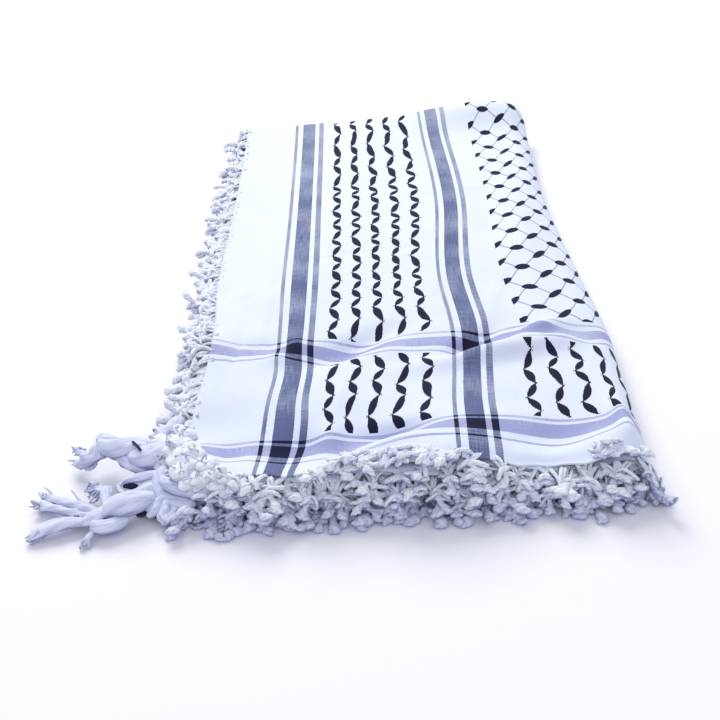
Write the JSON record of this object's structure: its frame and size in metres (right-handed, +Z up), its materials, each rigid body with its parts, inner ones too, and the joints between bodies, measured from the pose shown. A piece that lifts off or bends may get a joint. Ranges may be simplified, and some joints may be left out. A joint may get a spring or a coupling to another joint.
{
  "type": "keffiyeh headscarf",
  "caption": "Square cotton keffiyeh with a fishnet weave, striped border and knotted fringe, folded flat in eight with its corner tassels together at one corner.",
  "frame": {"origin": "bottom centre of the folded scarf's box, on the surface it lies on", "axes": "+Z up from that surface, +Y along the folded scarf's long side, away from the fringed front, +X towards the fold on the right"},
  "size_m": [0.4116, 0.6322, 0.0513],
  "materials": {
    "woven_cotton": "white cotton with a black and grey woven pattern",
    "fringe_yarn": "knotted white cotton yarn",
    "tassel_yarn": "twisted and knotted white cotton yarn"
  },
  "bodies": {
    "root": {"cloth_outer": "woven_cotton", "cloth_layers": "woven_cotton", "fringe_front_1": "fringe_yarn", "fringe_front_2": "fringe_yarn", "fringe_front_3": "fringe_yarn", "fringe_front_4": "fringe_yarn", "fringe_left_1": "fringe_yarn", "fringe_left_2": "fringe_yarn", "tassel_high": "tassel_yarn", "tassel_short": "tassel_yarn", "tassel_low": "tassel_yarn", "tassel_low_yarn_back": "tassel_yarn", "tassel_low_yarn_front": "tassel_yarn", "tassel_behind": "tassel_yarn"}
  },
  "joints": []
}
